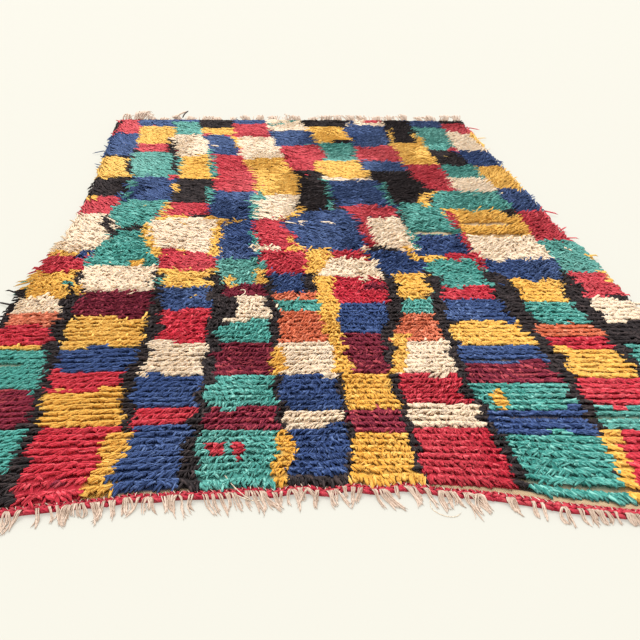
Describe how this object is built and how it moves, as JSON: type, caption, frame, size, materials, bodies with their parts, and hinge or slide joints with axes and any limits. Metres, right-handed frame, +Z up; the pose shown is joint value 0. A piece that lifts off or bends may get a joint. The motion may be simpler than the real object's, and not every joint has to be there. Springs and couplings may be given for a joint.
{
  "type": "azilal rug",
  "caption": "Hand-knotted wool shag rug that lies flat, with a patchwork of coloured blocks, a twined band along one hem and a fringe of warp ends at both ends.",
  "frame": {"origin": "middle of the whole rug's box, fringes included, on the floor that the rug lies on", "axes": "+X across the rug, +Y along its length away from the hem with the twined band, +Z up out of the pile"},
  "size_m": [1.5692, 2.4392, 0.0282],
  "materials": {
    "pile": "shaggy knotted wool pile in many colours, matt with a soft sheen",
    "twined_band": "two twined cords of red wool, matt",
    "fringe": "undyed twisted warp yarn, matt"
  },
  "bodies": {
    "root": {"pile_rug": "pile", "twined_band": "twined_band", "near_fringe": "fringe", "far_fringe": "fringe"}
  },
  "joints": []
}
